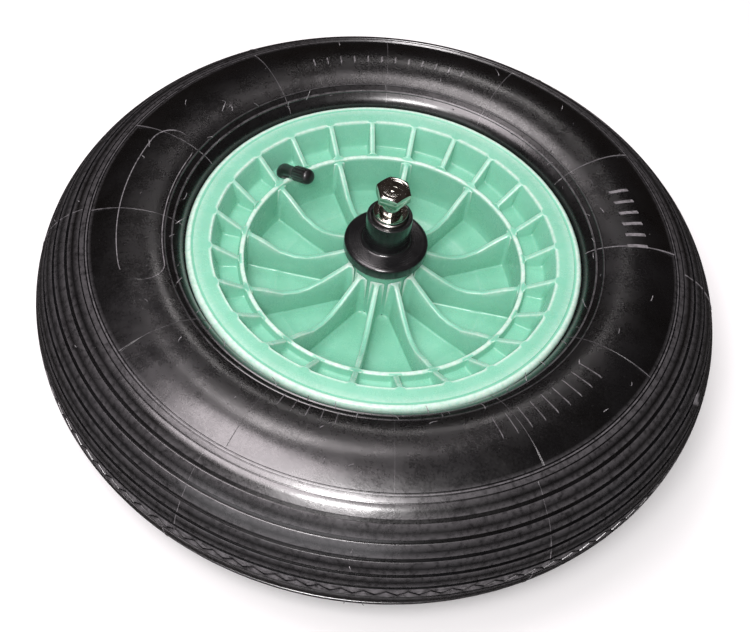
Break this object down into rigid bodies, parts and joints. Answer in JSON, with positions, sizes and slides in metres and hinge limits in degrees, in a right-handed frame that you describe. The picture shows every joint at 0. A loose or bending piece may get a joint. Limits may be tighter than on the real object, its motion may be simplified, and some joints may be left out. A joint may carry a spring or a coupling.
{
  "type": "wheelbarrow wheel",
  "caption": "Wheelbarrow wheel: ribbed pneumatic tyre on a ribbed plastic rim, with roller bearings, flanged spacers and an axle with a bolt in each end.",
  "frame": {"origin": "centre of the wheel: on the axle's axis, in the middle plane of the rim and tyre", "axes": "+Z along the axle, out of the side that carries the tyre valve, which is the side seen from above when the wheel lies flat; +X and +Y in the plane of the wheel, +X along the middle of one long rib"},
  "size_m": [0.409, 0.409, 0.184],
  "materials": {
    "tyre_rubber": "black rubber with a low sheen",
    "valve_rubber": "soft black rubber",
    "green_plastic": "moulded green plastic, semi-gloss",
    "black_plastic": "glossy black plastic",
    "cap_plastic": "satin black plastic",
    "cage_nylon": "off-white nylon",
    "axle_steel": "turned steel",
    "bearing_steel": "ground bearing steel",
    "bead_steel": "bronze-coated steel wire",
    "zinc_plate": "bright zinc plate",
    "valve_brass": "turned brass"
  },
  "bodies": {
    "axle_set": {"axle": "axle_steel", "spacer_upper": "black_plastic", "spacer_lower": "black_plastic", "spring_washer_upper": "zinc_plate", "spring_washer_lower": "zinc_plate"},
    "wheel": {"tyre": "tyre_rubber", "bead_wire_upper": "bead_steel", "bead_wire_lower": "bead_steel", "rim": "green_plastic", "bearing_sleeve_upper": "bearing_steel", "bearing_sleeve_lower": "bearing_steel", "valve_stem": "valve_rubber", "valve_tube": "valve_brass"},
    "bearing_upper": {"bearing_cage_upper": "cage_nylon", "roller_upper_01": "bearing_steel", "roller_upper_02": "bearing_steel", "roller_upper_03": "bearing_steel", "roller_upper_04": "bearing_steel", "roller_upper_05": "bearing_steel", "roller_upper_06": "bearing_steel", "roller_upper_07": "bearing_steel", "roller_upper_08": "bearing_steel"},
    "bearing_lower": {"bearing_cage_lower": "cage_nylon", "roller_lower_01": "bearing_steel", "roller_lower_02": "bearing_steel", "roller_lower_03": "bearing_steel", "roller_lower_04": "bearing_steel", "roller_lower_05": "bearing_steel", "roller_lower_06": "bearing_steel", "roller_lower_07": "bearing_steel", "roller_lower_08": "bearing_steel"},
    "upper_bolt": {"bolt_upper": "zinc_plate"},
    "lower_bolt": {"bolt_lower": "zinc_plate"},
    "cap": {"valve_cap": "cap_plastic"},
    "pin": {"valve_pin": "valve_brass"}
  },
  "joints": [
    {"name": "wheel_spin", "type": "hinge", "parent": "axle_set", "child": "wheel", "pos_m": [0, 0, 0], "axis": [0, 0, 1], "continuous": true},
    {"name": "bearing_upper_roll", "type": "hinge", "parent": "axle_set", "child": "bearing_upper", "pos_m": [0, 0, 0.032], "axis": [0, 0, 1], "continuous": true},
    {"name": "bearing_lower_roll", "type": "hinge", "parent": "axle_set", "child": "bearing_lower", "pos_m": [0, 0, -0.032], "axis": [0, 0, 1], "continuous": true},
    {"name": "bolt_upper_travel", "type": "slide", "parent": "axle_set", "child": "upper_bolt", "axis": [0, 0, 1], "range_m": [-0.0104, 0.021]},
    {"name": "bolt_lower_travel", "type": "slide", "parent": "axle_set", "child": "lower_bolt", "axis": [0, 0, -1], "range_m": [-0.0104, 0.021]},
    {"name": "valve_cap_off", "type": "slide", "parent": "wheel", "child": "cap", "axis": [0.7018, -0.5385, 0.4664], "range_m": [0, 0.016]},
    {"name": "valve_pin_press", "type": "slide", "parent": "wheel", "child": "pin", "axis": [-0.7018, 0.5385, -0.4664], "range_m": [0, 0.0012], "stiffness_N_per_m": 700, "springref_m": -0.0015}
  ],
  "couplings": [
    {"joint": "bearing_upper_roll", "follows": "wheel_spin", "ratio": 0.6},
    {"joint": "bearing_lower_roll", "follows": "wheel_spin", "ratio": 0.6}
  ]
}
